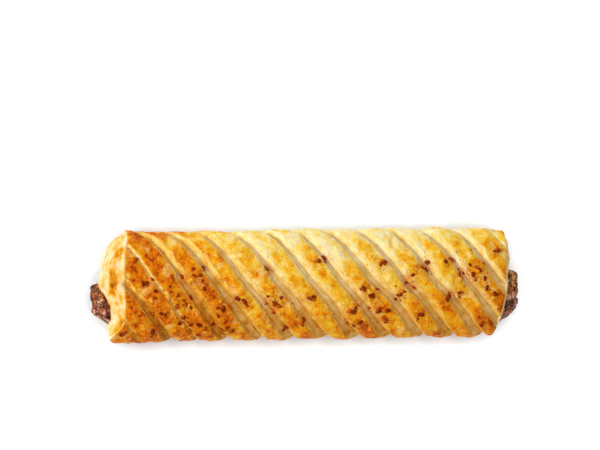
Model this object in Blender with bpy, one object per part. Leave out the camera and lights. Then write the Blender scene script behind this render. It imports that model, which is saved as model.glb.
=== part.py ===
"""Puff pastry stick: slashed puff pastry baked round a rod of minced filling.

The pastry is made the way a baker makes it. A flat sheet is slashed at a slant, wrapped round the
filling and trimmed at both ends, where its layers spread out past the browned crust. The slashes
open into furrows: from the foot of each one a steep layered flank climbs to a rounded crown, which
drops again to the floor of the next furrow. Seasoning flakes are fused to the crust.

Units are metres. X runs along the stick, Y across it and Z up. The origin is on the board, under the
middle of the stick. A place on the skin is given by x, counted from the middle of the crust, and by
its turn round the stick: 0 is the middle of the top, 0.25 the -Y side, -0.25 the +Y side, and -0.5
and 0.5 are both the middle of the base.
"""

import math
import random

import bmesh
import bpy
import numpy as np
from mathutils import Euler, Vector, noise

# Stick
CRUST_LENGTH = 0.1615         # browned crust, end to end along the top
SHIFT = 0.0020                # crust's middle from the origin, since the filling's ends differ
SKIN_HALF_WIDTH = 0.0200      # section at the foot of the slashes
SKIN_RISE = 0.0102            # from the widest level to the top
SKIN_DROP = 0.0122            # from the widest level down, before the board flattens it
WIDEST_LEVEL = 0.0108         # height of the widest level over the board
TOP_POWER = 2.15              # superellipse exponents of the section above and below that level
BASE_POWER = 2.7
SECTION_SAMPLES = 1440
LUMP_HEIGHT = 0.0005          # slow swelling of the baked skin
LUMP_SIZE = 0.016
END_TAPER = 0.05              # share by which the section shrinks over the right end's last stretch
TAPER_LENGTH = 0.007
END_FLARE = 0.035             # share by which it widens over the left end's
FLARE_LENGTH = 0.020

# Slashes, numbered along X from the middle one
SLASH_PITCH = 0.0133
SLASHES_PER_TURN = 7          # how many pitches a slash runs along X in one full turn
SLASH_EASE = 0.20             # share by which it runs slower than that over the top, faster under the base
SLASH_LEAD = (0.17, -0.03, 0.11)      # it runs ahead on the -Y side: by pitches, from a turn on, over turns
FIRST_SLASH = 0.045           # phase of the slashes at the crust's middle, in pitches
SLASH_STRAY = {-2: -0.0008, 0: 0.0006}  # how far a slash lies from its even place
SLASH_BEND = {                # and how far it strays besides on the -Y side
    -7: 0.0012, -6: 0.0008, -5: -0.0014, -4: -0.0020, -3: -0.0008,
    2: 0.0018, 3: 0.0010, 4: 0.0005, 5: -0.0014,
}
SLASH_WANDER = 0.0005         # how far it wanders on the way round
WANDER_WAVES = 5.0            # wobbles per turn
RIDGE_HEIGHT = 0.0025
RIDGE_UNEVEN = 0.20
RIDGE_WAVE = 0.011            # length along X of that unevenness
FLANK_SHARE = 0.15            # of a pitch: layered flank that climbs from the foot of the slash
FLANK_UNEVEN = 0.05
CROWN_SHARE = 0.45            # where the ridge is highest
EDGE_SHARE = 0.76             # where the crown ends
FLOOR_SHARE = 0.87            # where the floor of the next slash starts
EDGE_EARLY = (0.09, -0.08, 0.14)      # both come sooner on the -Y side: by pitches, from a turn, over turns
EDGE_LATE = (0.12, -0.066, 0.012)     # and later near the left end: by pitches, from an x, over x
FLOOR_UNEVEN = 0.05
LATEST = 0.08                 # later by this share at most
PROFILE_HEIGHTS = (0.0, 0.86, 1.0, 0.86, 0.24, 0.0)
FADE_START = 0.30             # turns between which the ridges flatten towards the base
FADE_END = 0.375
SHUT_SLASHES = {              # these have hardly opened: from a turn, to a turn, how far they are shut
    -7: (0.05, 0.45, 0.65), -5: (-0.25, 0.22, 0.65), 7: (-0.45, 0.10, 0.90),
}
SHUT_EASE = 0.06
SHUT_EDGE = 0.95              # where the crown ends and the floor starts beside a shut slash
SHUT_FLOOR = 0.97
SHUT_FILL = 0.80              # share of its depth that a shut slash loses

# Cut ends: the pastry's layers reach past the crust
LEFT_REACH = 0.0041
LEFT_TOP_REACH = (0.0063, -0.03, 0.30)   # further over the mouth: length, turn, half its width
LEFT_NOTCH = (0.0030, 0.085, 0.12)       # but less over the filling's bulge
RIGHT_REACH = 0.0020
LAYER_RINGS = ((0.10, 0.22), (0.32, 0.62), (0.62, 0.90), (1.25, 1.0))   # (share of wall, share of reach)
RIM_RISE = 0.0017             # how high the spread layers start over the foot of the slashes
LAYER_RAGGED = 0.0007
RAGGED_WAVES = 14.0
LEFT_SET_BACK = (0.0035, -0.25, 0.20)    # the crust starts late on the +Y side of the left end
LEFT_TONGUE = (0.0050, 0.212, 0.080)     # its lowest ridge sticks out on the -Y side
RIGHT_LEAN = (0.0014, -0.22, 0.20)       # the right end sticks out on the +Y side
RIGHT_SET_BACK = (0.0036, 0.25, 0.27)    # and is cut back on the -Y side
SNAP = 0.0007                 # a row this close to a cut end is moved onto it

# Bore and filling
BORE_HALF_WIDTH = 0.0142
BORE_HALF_HEIGHT = 0.0062
BORE_CENTRE = (-0.0014, 0.0108)
GAP = 0.0003                  # between filling and bore
# Each end of the filling: reach past the crust, bulge, its middle, half its width, and the lengths over
# which the bulge falls off on its +Y and -Y sides
LEFT_FILLING = (0.0050, 0.0052, -0.0048, 0.0045, 0.0020, 0.0062)
RIGHT_FILLING = (0.0012, 0.0052, -0.0035, 0.0065, 0.0022, 0.0070)
MINCE_LUMP = 0.0016
MINCE_SIZE = 0.0042
MINCE_DOME = 0.0019           # how far the end faces round off towards their rims

# Mesh density
ROWS_PER_SLASH = 5
SLASHES_LAID = 22             # enough to run past both ends on every side
SKIN_COLUMNS = 44
BORE_SIDES = 44
FILLING_COLUMNS = 34
FILLING_RINGS = 22
CAP_SHARE = 0.82              # ring radius at which the filling's end turns into its side

# Seasoning, sprinkled in clumps along a band that crosses the top at a slight slant
CLUMPS = (                    # (x in mm, turn, flakes)
    (-81, 0.18, 2), (-77, -0.10, 1), (-72, -0.01, 3), (-69, 0.04, 3), (-69, 0.17, 2), (-66, 0.10, 3),
    (-62, 0.02, 4), (-56, 0.07, 5), (-56, 0.15, 6), (-52, -0.04, 7), (-48, 0.01, 2), (-47, 0.16, 5),
    (-40, 0.09, 5), (-38, 0.16, 4), (-31, 0.06, 3), (-21, -0.05, 2), (-18, 0.07, 6), (-13, 0.06, 1),
    (-12, 0.17, 2), (-6, 0.15, 2), (-2, 0.05, 2), (1, -0.09, 3), (16, 0.10, 3), (16, 0.16, 3),
    (22, 0.03, 4), (27, -0.07, 2), (27, 0.09, 5), (29, 0.13, 2), (35, 0.04, 3), (40, -0.01, 4),
    (44, 0.12, 2), (45, -0.06, 4), (55, -0.08, 2), (55, 0.06, 2), (61, -0.03, 3), (61, 0.04, 2),
    (68, -0.06, 5), (71, 0.00, 4), (71, 0.15, 4), (75, 0.06, 2), (77, -0.12, 1),
)
CLUMP_STEP = 0.0016           # how fast a clump spreads out from its middle
CLUMP_STRETCH = 1.35          # clumps are longer along the stick than round it
GOLDEN_ANGLE = 2.399963
FLAKE_SEED = 11
FLAKE_RADIUS = (0.0007, 0.0013)
FLAKE_TILT = 0.3
FLAKE_TAPER = 0.62
FLAKE_DEPTH = (0.75, 1.15)    # in radii
FLAKE_STRETCH = (0.75, 1.45)
FLAKE_SIDES = 6
FLAKE_UNEVEN = 0.28
FLAKE_SUNK = 0.45

CRUST_COLOUR = (0.86, 0.52, 0.14)
MINCE_COLOUR = (0.17, 0.06, 0.03)
SEASONING_COLOUR = (0.30, 0.06, 0.02)
SHARP_EDGE = 50.0             # degrees


def clamp(value, low=0.0, high=1.0):
    return min(max(value, low), high)


def smooth(value):
    value = clamp(value)
    return value * value * (3 - 2 * value)


def bump(value, height, centre, half_width):
    """height at the centre, falling smoothly to 0 at half_width on either side."""
    return height * smooth(1 - abs(value - centre) / half_width)


def wobble(*place):
    """Smooth noise between -1 and 1."""
    return noise.noise(Vector(place))


# ---- section of the stick -------------------------------------------------------------------------


def section_table():
    """The smooth skin's girth, and turn, y, z and outward normal round it."""
    angle = np.linspace(-math.pi, math.pi, SECTION_SAMPLES + 1)
    side, up = np.sin(angle), np.cos(angle)
    power = np.where(up > 0, TOP_POWER, BASE_POWER)
    reach = np.where(up > 0, SKIN_RISE, SKIN_DROP)
    y = -SKIN_HALF_WIDTH * np.sign(side) * np.abs(side) ** (2 / power)
    z = np.maximum(WIDEST_LEVEL + reach * np.sign(up) * np.abs(up) ** (2 / power), 0.0)
    run = np.concatenate([[0.0], np.cumsum(np.hypot(np.diff(y), np.diff(z)))])
    dy, dz = np.gradient(y, run), np.gradient(z, run)
    length = np.hypot(dy, dz)
    return run[-1], (run / run[-1] - 0.5, y, z, dz / length, -dy / length)


SKIN_GIRTH, SECTION = section_table()


def section_at(turn):
    """(y, z, normal y, normal z) of the smooth skin."""
    return tuple(float(np.interp(turn, SECTION[0], column)) for column in SECTION[1:])


def relief_share(turn):
    """How much of the slashes' relief shows: all of it above, none on the flat base."""
    return 1 - smooth((abs(turn) - FADE_START) / (FADE_END - FADE_START))


# ---- slashes --------------------------------------------------------------------------------------


def slash_run(turn):
    """How many pitches a slash has run along X at a turn."""
    eased = turn - SLASH_EASE * math.sin(2 * math.pi * turn) / (2 * math.pi)
    return SLASHES_PER_TURN * eased


def slash_x(number, turn):
    """Where the foot of a slash crosses a turn."""
    even = SLASH_PITCH * (number - FIRST_SLASH + slash_run(turn))
    stray = SLASH_STRAY.get(number, 0.0) + SLASH_WANDER * wobble(number * 3.7, turn * WANDER_WAVES, 1.3)
    lead, lead_from, lead_over = SLASH_LEAD
    stray += (lead * SLASH_PITCH + SLASH_BEND.get(number, 0.0)) * smooth((turn - lead_from) / lead_over)
    return even + stray * relief_share(turn)


def slash_shut(number, turn):
    """How far a slash is shut: 0 for an open one."""
    if number not in SHUT_SLASHES:
        return 0.0
    first, last, share = SHUT_SLASHES[number]
    from_side = smooth((turn - first) / SHUT_EASE + 0.5)
    return share * from_side * smooth((last - turn) / SHUT_EASE + 0.5)


def slash_knots(number, turn):
    """Shares of the pitch, from one slash to the next, where the ridge's profile bends."""
    share = relief_share(turn)
    flank = FLANK_SHARE + FLANK_UNEVEN * share * wobble(number * 2.3, turn * WANDER_WAVES, 8.1)
    flank *= 1 - slash_shut(number, turn)
    late = FLOOR_UNEVEN * share * wobble(number * 4.1, turn * WANDER_WAVES, 2.6)
    late -= EDGE_EARLY[0] * share * smooth((turn - EDGE_EARLY[1]) / EDGE_EARLY[2])
    late += EDGE_LATE[0] * share * smooth((EDGE_LATE[1] - slash_x(number, turn)) / EDGE_LATE[2])
    late = min(late, LATEST)
    shut = slash_shut(number + 1, turn)
    edge = EDGE_SHARE + late
    floor = FLOOR_SHARE + late
    edge += (SHUT_EDGE - edge) * shut
    floor += (SHUT_FLOOR - floor) * shut
    return 0.0, flank, CROWN_SHARE, edge, floor, 1.0


def slash_relief(x, turn):
    """Height of the skin over the foot of the slashes."""
    number = math.floor(x / SLASH_PITCH - slash_run(turn) + FIRST_SLASH)
    if x < slash_x(number, turn):
        number -= 1
    elif x >= slash_x(number + 1, turn):
        number += 1
    start, end = slash_x(number, turn), slash_x(number + 1, turn)
    share = (x - start) / (end - start)
    height = np.interp(share, slash_knots(number, turn), PROFILE_HEIGHTS)
    shut = slash_shut(number if share < CROWN_SHARE else number + 1, turn)
    height += SHUT_FILL * shut * (1 - height)
    uneven = 1 + RIDGE_UNEVEN * wobble(x / RIDGE_WAVE, turn * WANDER_WAVES, number * 5.1)
    return RIDGE_HEIGHT * float(height) * uneven * relief_share(turn)


def end_size(x):
    """(width, height) of the section near the cut ends, as shares of its size elsewhere."""
    to_end = CRUST_LENGTH / 2 - abs(x)
    if x < 0:
        return 1 + END_FLARE * smooth(1 - to_end / FLARE_LENGTH), 1.0
    taper = 1 - END_TAPER * smooth(1 - to_end / TAPER_LENGTH)
    return taper, taper


def skin_point(x, turn, relief=None):
    """A point of the baked crust, or of a skin with an even relief where that is given."""
    y, z, normal_y, normal_z = section_at(turn)
    lump = LUMP_HEIGHT * relief_share(turn) * wobble(x / LUMP_SIZE, y / LUMP_SIZE, z / LUMP_SIZE)
    out = lump + (slash_relief(x, turn) if relief is None else relief)
    width, height = end_size(x)
    z = WIDEST_LEVEL + (z + normal_z * out - WIDEST_LEVEL) * height
    return Vector((x + SHIFT, (y + normal_y * out) * width, max(z, 0.0)))


# ---- cut ends -------------------------------------------------------------------------------------


def crust_end(side, turn):
    """x where the crust ends. side is -1 for the left end and 1 for the right one."""
    if side < 0:
        return -CRUST_LENGTH / 2 + bump(turn, *LEFT_SET_BACK) - bump(turn, *LEFT_TONGUE)
    return CRUST_LENGTH / 2 + bump(turn, *RIGHT_LEAN) - bump(turn, *RIGHT_SET_BACK)


def face_x(side, turn):
    """x of the layered face round the mouth."""
    if side < 0:
        reach = LEFT_REACH + bump(turn, *LEFT_TOP_REACH) - bump(turn, *LEFT_NOTCH)
        return -CRUST_LENGTH / 2 - reach
    return crust_end(side, turn) + RIGHT_REACH


def bore_point(turn, gap=0.0):
    """(y, z) on the wall of the bore, or on the filling's side where gap is set."""
    angle = 2 * math.pi * turn
    return (
        BORE_CENTRE[0] - (BORE_HALF_WIDTH - gap) * math.sin(angle),
        BORE_CENTRE[1] + (BORE_HALF_HEIGHT - gap) * math.cos(angle),
    )


def layer_point(side, turn, wall_share, reach_share):
    """A point of the cut end, between the crust's edge and the bore."""
    start = crust_end(side, turn)
    edge = skin_point(start, turn, RIM_RISE * relief_share(turn))
    bore_y, bore_z = bore_point(turn)
    ragged = LAYER_RAGGED * wobble(side * 4.0, turn * RAGGED_WAVES, wall_share * 6.0)
    return Vector((
        edge.x + (face_x(side, turn) - start) * reach_share + ragged,
        edge.y + (bore_y - edge.y) * wall_share,
        edge.z + (bore_z - edge.z) * wall_share,
    ))


# ---- objects --------------------------------------------------------------------------------------


def new_collection(name):
    collection = bpy.data.collections.new(name)
    bpy.context.scene.collection.children.link(collection)
    return collection


def new_object(name, bm, collection, material):
    """Turns a closed bmesh's faces outwards and makes it an object."""
    bm.normal_update()
    bmesh.ops.recalc_face_normals(bm, faces=bm.faces)
    mesh = bpy.data.meshes.new(name)
    bm.to_mesh(mesh)
    bm.free()
    mesh.materials.append(material)
    obj = bpy.data.objects.new(name, mesh)
    collection.objects.link(obj)
    return obj


def new_material(name, colour, roughness):
    material = bpy.data.materials.new(name)
    material.use_nodes = True
    shader = material.node_tree.nodes["Principled BSDF"]
    shader.inputs["Base Color"].default_value = (*colour, 1.0)
    shader.inputs["Roughness"].default_value = roughness
    shader.inputs["Metallic"].default_value = 0.0
    material.diffuse_color = (*colour, 1.0)
    return material


def wrap_sheet(bm, turn_layer):
    """Lays a flat sheet round the filling, its rows along the slashes, and welds its long seam."""
    rows = SLASHES_LAID * ROWS_PER_SLASH
    bmesh.ops.create_grid(bm, x_segments=rows, y_segments=SKIN_COLUMNS, size=1.0)
    for vert in bm.verts:
        row = round((vert.co.x + 1) / 2 * rows)
        turn = round((vert.co.y + 1) / 2 * SKIN_COLUMNS) / SKIN_COLUMNS - 0.5
        number, knot = divmod(row, ROWS_PER_SLASH)
        number -= SLASHES_LAID // 2
        start, end = slash_x(number, turn), slash_x(number + 1, turn)
        x = start + slash_knots(number, turn)[knot] * (end - start)
        left, right = crust_end(-1, turn), crust_end(1, turn)
        if x < left + SNAP:
            x = left
        if x > right - SNAP:
            x = right
        vert.co = skin_point(x, turn)
        vert[turn_layer] = turn
    bmesh.ops.remove_doubles(bm, verts=bm.verts, dist=1e-6)


def spread_layers(bm, turn_layer, side):
    """Extrudes the crust's edge inwards, ring by ring, past the wall of the bore, and closes it."""
    edges = [e for e in bm.edges if e.is_boundary and e.verts[0].co.x * side > 0]
    for wall_share, reach_share in LAYER_RINGS:
        grown = bmesh.ops.extrude_edge_only(bm, edges=edges)["geom"]
        for vert in (g for g in grown if isinstance(g, bmesh.types.BMVert)):
            vert.co = layer_point(side, vert[turn_layer], wall_share, reach_share)
        edges = [g for g in grown if isinstance(g, bmesh.types.BMEdge)]
    bmesh.ops.contextual_create(bm, geom=edges)


def make_pastry(collection, material):
    bm = bmesh.new()
    turn_layer = bm.verts.layers.float.new("turn")
    wrap_sheet(bm, turn_layer)
    spread_layers(bm, turn_layer, -1)
    spread_layers(bm, turn_layer, 1)
    return new_object("pastry", bm, collection, material)


def make_bore(material):
    """The cutter for the space that the filling takes."""
    bm = bmesh.new()
    bmesh.ops.create_cone(
        bm, cap_ends=True, segments=BORE_SIDES, radius1=1.0, radius2=1.0, depth=CRUST_LENGTH * 1.3
    )
    for vert in bm.verts:
        y, z = bore_point(math.atan2(vert.co.y, vert.co.x) / (2 * math.pi))
        vert.co = Vector((vert.co.z, y, z))
    cutter = new_object("bore", bm, new_collection("cutters"), material)
    cutter.hide_render = True
    cutter.display_type = "WIRE"
    return cutter


def filling_end(side, y):
    """How far from the crust's middle the filling's end face is, before its lumps."""
    reach, bulge, centre, half_width, far_fall, near_fall = LEFT_FILLING if side < 0 else RIGHT_FILLING
    fall = smooth((abs(y - centre) - half_width) / (far_fall if y > centre else near_fall))
    return CRUST_LENGTH / 2 + reach + bulge * (1 - fall)


def make_filling(collection, material):
    """A rod of mince, from a sphere whose middle rings make its side and whose poles its end faces."""
    bm = bmesh.new()
    bmesh.ops.create_uvsphere(bm, u_segments=FILLING_COLUMNS, v_segments=FILLING_RINGS, radius=1.0)
    for vert in bm.verts:
        side = 1 if vert.co.z > 0 else -1
        radius = math.hypot(vert.co.x, vert.co.y)
        share = clamp(radius / CAP_SHARE)
        rim_y, rim_z = bore_point(math.atan2(vert.co.y, vert.co.x) / (2 * math.pi), GAP)
        y = BORE_CENTRE[0] + (rim_y - BORE_CENTRE[0]) * share
        z = BORE_CENTRE[1] + (rim_z - BORE_CENTRE[1]) * share
        lump = MINCE_LUMP * (1 - share ** 6) * wobble(side * 9.0, y / MINCE_SIZE, z / MINCE_SIZE)
        depth = filling_end(side, y) + lump - MINCE_DOME * share ** 4
        to_middle = clamp((radius - CAP_SHARE) / (1 - CAP_SHARE))
        vert.co = Vector((side * depth * (1 - to_middle ** 1.5) + SHIFT, y, z))
    return new_object("filling", bm, collection, material)


# ---- seasoning ------------------------------------------------------------------------------------


def flake_spots():
    """(x, turn, radius, spin, tilt) of each flake. A clump's flakes spiral out from its middle."""
    draw = random.Random(FLAKE_SEED)
    spots = []
    for middle, middle_turn, flakes in CLUMPS:
        lean = draw.uniform(0, 2 * math.pi)
        for number in range(flakes):
            reach = CLUMP_STEP * math.sqrt(number)
            angle = lean + GOLDEN_ANGLE * number
            x = middle / 1000 + reach * CLUMP_STRETCH * math.cos(angle)
            turn = middle_turn + reach * math.sin(angle) / SKIN_GIRTH
            spin = draw.uniform(0, 2 * math.pi)
            spots.append((x, turn, draw.uniform(*FLAKE_RADIUS), spin, draw.gauss(0, FLAKE_TILT)))
    return spots


def skin_normal(x, turn):
    across = skin_point(x, turn + 0.004) - skin_point(x, turn - 0.004)
    along = skin_point(x + 0.0004, turn) - skin_point(x - 0.0004, turn)
    return across.cross(along).normalized()


def make_flakes(material):
    """Crushed flakes, each a tapered chip that stands half sunk in the crust."""
    collection = new_collection("flakes")
    draw = random.Random(FLAKE_SEED + 1)
    for number, (x, turn, radius, spin, tilt) in enumerate(flake_spots()):
        bm = bmesh.new()
        depth = radius * draw.uniform(*FLAKE_DEPTH)
        bmesh.ops.create_cone(
            bm,
            cap_ends=True,
            segments=FLAKE_SIDES,
            radius1=radius,
            radius2=radius * FLAKE_TAPER,
            depth=depth,
        )
        stretch = draw.uniform(*FLAKE_STRETCH)
        for vert in bm.verts:
            uneven = 1 + draw.uniform(-FLAKE_UNEVEN, FLAKE_UNEVEN)
            vert.co = Vector((vert.co.x * stretch, vert.co.y, vert.co.z)) * uneven
        normal = skin_normal(x, turn)
        flake = new_object(f"flake_{number:02d}", bm, collection, material)
        flake.rotation_mode = "QUATERNION"
        flake.rotation_quaternion = normal.to_track_quat("Z", "Y") @ Euler((tilt, 0.0, spin)).to_quaternion()
        flake.location = skin_point(x, turn) + normal * depth * (0.5 - FLAKE_SUNK)
    return collection


def cut_and_fuse(pastry, bore, flakes):
    """Bores the pastry, joins the flakes to it with one Boolean union, and removes the loose ones."""
    cut = pastry.modifiers.new("bore", "BOOLEAN")
    cut.operation = "DIFFERENCE"
    cut.solver = "EXACT"
    cut.object = bore
    union = pastry.modifiers.new("seasoning", "BOOLEAN")
    union.operation = "UNION"
    union.operand_type = "COLLECTION"
    union.collection = flakes
    union.solver = "MANIFOLD"
    bpy.context.view_layer.update()
    evaluated = pastry.evaluated_get(bpy.context.evaluated_depsgraph_get())
    whole = bpy.data.meshes.new_from_object(evaluated)
    pastry.modifiers.clear()
    pastry.data = whole
    for flake in list(flakes.objects):
        bpy.data.objects.remove(flake)
    bpy.data.collections.remove(flakes)


def main():
    for old in list(bpy.data.objects):
        bpy.data.objects.remove(old)
    stick = new_collection("puff_pastry_stick")
    crust = new_material("crust", CRUST_COLOUR, 0.5)
    mince = new_material("mince", MINCE_COLOUR, 0.55)
    seasoning = new_material("seasoning", SEASONING_COLOUR, 0.6)
    pastry = make_pastry(stick, crust)
    filling = make_filling(stick, mince)
    cut_and_fuse(pastry, make_bore(crust), make_flakes(seasoning))
    for piece in (pastry, filling):
        piece.data.shade_smooth()
        piece.data.set_sharp_from_angle(angle=math.radians(SHARP_EDGE))


main()
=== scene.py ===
"""Looks of the puff pastry stick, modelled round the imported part.

The crust is wrapped from the same slashed sheet as the CAD solid, with many more rows and columns, to
carry the layers in the slashes, the blisters of the browned crowns and the leaves of the cut ends.
How far each place is baked is worked out with the shape and kept on the mesh as attributes, which the
crust's material reads. The filling and the seasoning are modelled in the same way.

Units are metres, in the part's own frame: X runs along the stick, Z is up, and a turn round the stick
is 0 in the middle of the top, 0.25 on the -Y side and -0.25 on the +Y side.
"""

import math
import random

import bmesh
import bpy
import numpy as np
from mathutils import Euler, Matrix, Vector, noise


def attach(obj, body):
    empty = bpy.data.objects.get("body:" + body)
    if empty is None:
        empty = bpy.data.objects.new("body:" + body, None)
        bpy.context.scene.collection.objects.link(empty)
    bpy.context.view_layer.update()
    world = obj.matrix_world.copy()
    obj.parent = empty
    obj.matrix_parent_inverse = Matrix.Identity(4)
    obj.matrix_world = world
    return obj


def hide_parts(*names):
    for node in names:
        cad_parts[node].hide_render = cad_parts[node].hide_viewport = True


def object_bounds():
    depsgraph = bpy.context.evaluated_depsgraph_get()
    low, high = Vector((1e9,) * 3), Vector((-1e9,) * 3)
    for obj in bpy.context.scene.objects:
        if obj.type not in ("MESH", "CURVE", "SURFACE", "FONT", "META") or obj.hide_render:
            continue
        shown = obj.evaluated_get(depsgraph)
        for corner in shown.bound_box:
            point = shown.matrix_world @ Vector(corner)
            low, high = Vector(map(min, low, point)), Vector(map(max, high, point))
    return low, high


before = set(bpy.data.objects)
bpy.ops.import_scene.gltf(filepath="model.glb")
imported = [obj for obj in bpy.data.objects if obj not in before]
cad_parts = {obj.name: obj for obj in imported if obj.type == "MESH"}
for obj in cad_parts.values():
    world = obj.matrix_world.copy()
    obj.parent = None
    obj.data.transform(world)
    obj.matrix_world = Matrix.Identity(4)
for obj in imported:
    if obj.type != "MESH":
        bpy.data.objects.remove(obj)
CAD_LOW, CAD_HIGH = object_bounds()

# ---- stick, as in the CAD source ----

CRUST_LENGTH = 0.1615
SHIFT = 0.0020
SKIN_HALF_WIDTH = 0.0200
SKIN_RISE = 0.0102
SKIN_DROP = 0.0122
WIDEST_LEVEL = 0.0108
TOP_POWER = 2.15
BASE_POWER = 2.7
SECTION_SAMPLES = 1440
LUMP_HEIGHT = 0.0005
LUMP_SIZE = 0.016
END_TAPER = 0.05
TAPER_LENGTH = 0.007
END_FLARE = 0.035
FLARE_LENGTH = 0.020

SLASH_PITCH = 0.0133
SLASHES_PER_TURN = 7
SLASH_EASE = 0.20
SLASH_LEAD = (0.17, -0.03, 0.11)
FIRST_SLASH = 0.045
SLASH_STRAY = {-2: -0.0008, 0: 0.0006}
SLASH_BEND = {
    -7: 0.0012, -6: 0.0008, -5: -0.0014, -4: -0.0020, -3: -0.0008,
    2: 0.0018, 3: 0.0010, 4: 0.0005, 5: -0.0014,
}
SLASH_WANDER = 0.0005
WANDER_WAVES = 5.0
RIDGE_HEIGHT = 0.0025
RIDGE_UNEVEN = 0.20
RIDGE_WAVE = 0.011
FLANK_SHARE = 0.15
FLANK_UNEVEN = 0.05
CROWN_SHARE = 0.45
EDGE_SHARE = 0.76
FLOOR_SHARE = 0.87
EDGE_EARLY = (0.09, -0.08, 0.14)
EDGE_LATE = (0.12, -0.066, 0.012)
FLOOR_UNEVEN = 0.05
LATEST = 0.08
PROFILE_HEIGHTS = (0.0, 0.86, 1.0, 0.86, 0.24, 0.0)
FADE_START = 0.30
FADE_END = 0.375
SHUT_SLASHES = {-7: (0.05, 0.45, 0.65), -5: (-0.25, 0.22, 0.65), 7: (-0.45, 0.10, 0.90)}
SHUT_EASE = 0.06
SHUT_EDGE = 0.95
SHUT_FLOOR = 0.97
SHUT_FILL = 0.80

LEFT_REACH = 0.0041
LEFT_TOP_REACH = (0.0063, -0.03, 0.30)
LEFT_NOTCH = (0.0030, 0.085, 0.12)
RIGHT_REACH = 0.0020
LAYER_WALLS = (0.0, 0.10, 0.32, 0.62, 1.25)
LAYER_REACHES = (0.0, 0.22, 0.62, 0.90, 1.0)
RIM_RISE = 0.0017
LAYER_RAGGED = 0.0007
RAGGED_WAVES = 14.0
LEFT_SET_BACK = (0.0035, -0.25, 0.20)
LEFT_TONGUE = (0.0050, 0.212, 0.080)
RIGHT_LEAN = (0.0014, -0.22, 0.20)
RIGHT_SET_BACK = (0.0036, 0.25, 0.27)

BORE_HALF_WIDTH = 0.0142
BORE_HALF_HEIGHT = 0.0062
BORE_CENTRE = (-0.0014, 0.0108)
GAP = 0.0003
LEFT_FILLING = (0.0050, 0.0052, -0.0048, 0.0045, 0.0020, 0.0062)
RIGHT_FILLING = (0.0012, 0.0052, -0.0035, 0.0065, 0.0022, 0.0070)
MINCE_LUMP = 0.0016
MINCE_SIZE = 0.0042
MINCE_DOME = 0.0019

CLUMPS = (  # (x in mm, turn, flakes)
    (-81, 0.18, 2), (-77, -0.10, 1), (-72, -0.01, 3), (-69, 0.04, 3), (-69, 0.17, 2), (-66, 0.10, 3),
    (-62, 0.02, 4), (-56, 0.07, 5), (-56, 0.15, 6), (-52, -0.04, 7), (-48, 0.01, 2), (-47, 0.16, 5),
    (-40, 0.09, 5), (-38, 0.16, 4), (-31, 0.06, 3), (-21, -0.05, 2), (-18, 0.07, 6), (-13, 0.06, 1),
    (-12, 0.17, 2), (-6, 0.15, 2), (-2, 0.05, 2), (1, -0.09, 3), (16, 0.10, 3), (16, 0.16, 3),
    (22, 0.03, 4), (27, -0.07, 2), (27, 0.09, 5), (29, 0.13, 2), (35, 0.04, 3), (40, -0.01, 4),
    (44, 0.12, 2), (45, -0.06, 4), (55, -0.08, 2), (55, 0.06, 2), (61, -0.03, 3), (61, 0.04, 2),
    (68, -0.06, 5), (71, 0.00, 4), (71, 0.15, 4), (75, 0.06, 2), (77, -0.12, 1),
)
CLUMP_STEP = 0.0016
CLUMP_STRETCH = 1.35
GOLDEN_ANGLE = 2.399963
FLAKE_SEED = 11
FLAKE_RADIUS = (0.0007, 0.0013)
FLAKE_TILT = 0.3
FLAKE_DEPTH = (0.75, 1.15)
FLAKE_STRETCH = (0.75, 1.45)
FLAKE_SUNK = 0.45

# ---- fine detail ----

PROFILE_ROWS = (8, 4, 6, 4, 5)  # rows of the mesh from each bend of the profile to the next
SLASHES_LAID = 22  # enough to run past both ends
TOP_COLUMNS = 226  # columns over the slashed part of the stick
BASE_COLUMNS = 13  # from there to the middle of the base, on each side
SNAP = 0.00012  # a row this close to a cut end is moved onto it
FINE_WANDER = 0.00022  # how far the foot of a slash wanders
FINE_WAVES = 23.0
EDGE_WANDER = 0.040  # share of a pitch by which a crown's edges wander
EDGE_RAGGED = 0.045  # and by which they are ragged on top of that
EDGE_WAVES = 64.0
THIN_FLANK = 0.05  # a flank keeps at least this share of a pitch
FLOOR_CLIMB = 0.25  # share of a flank that has the floor's colour
FLOOR_EDGE = 0.03  # pitches over which that colour gives way
FLOOR_LOST = 0.8  # share of it that is lost where the slash is shut
LIP_HEIGHT = 0.00013  # the browned skin curls up along the cut
LIP_WIDTH = 0.035
LIP_OVER = 0.6  # 0.5 centres the lip on the cut, more moves it outwards
LIP_CURL = (0.6, 0.8, 34.5)  # how far it curls up: mean, swing, waves per turn
SLASH_LAYERS = 4.3  # layers that show on each side of a slash
SLASH_LAYER_HEIGHT = 0.00009
LAYER_STRAY = (0.7, 9.0)  # how far they stray, in layers, and waves per turn
FOOT_WIDTH = 0.045  # half the width of a slash's foot, which is darkened as painted shade, in pitches
FOOT_GROOVE = (0.00008, 0.026)  # depth and half width of the crease in it
SKIN_SLOPE = 0.17  # how far the skin's ragged edge reaches, in pitches
SKIN_OVER_SHUT = (0.70, 0.15)  # it runs on over a slash shut this far: from, over
RIM_WIDTHS = (0.12, 0.07)  # how far a crown's pale edges, partly painted highlight, reach into it
RIM_LOW = (0.45, -0.10, 0.25)  # what those edges and their painted highlight lose on the -Y side, and from which turn over what length
BLISTERS = ((0.0042, 0.00036), (0.0018, 0.00042), (0.0008, 0.00020))  # (size, height)
BLISTERS_OFF_CROWN = 0.45  # share of their height off the crowns
CRACKS = (0.0031, 0.055, 0.00022)  # their size, width and depth
CRACKED = (0.009, 4, -0.6)  # areas that have cracked: size, slope and offset of their noise
FLAKED = (0.0046, 6, -1.7)  # areas where the browned skin has come off
FLAKED_DEPTH = 0.00020
LEAVES = 9  # layers on the cut ends
LEAF_PROFILE = (0.0, 1.0, 0.7)
LEAF_HEIGHT = 0.00020
LEAF_SWAY = (0.035, 8.0)  # swing in walls, waves per turn
LEAF_TORN = (0.75, 0.9, 34.0)  # how high the edges stand: mean, swing, waves per turn
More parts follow.
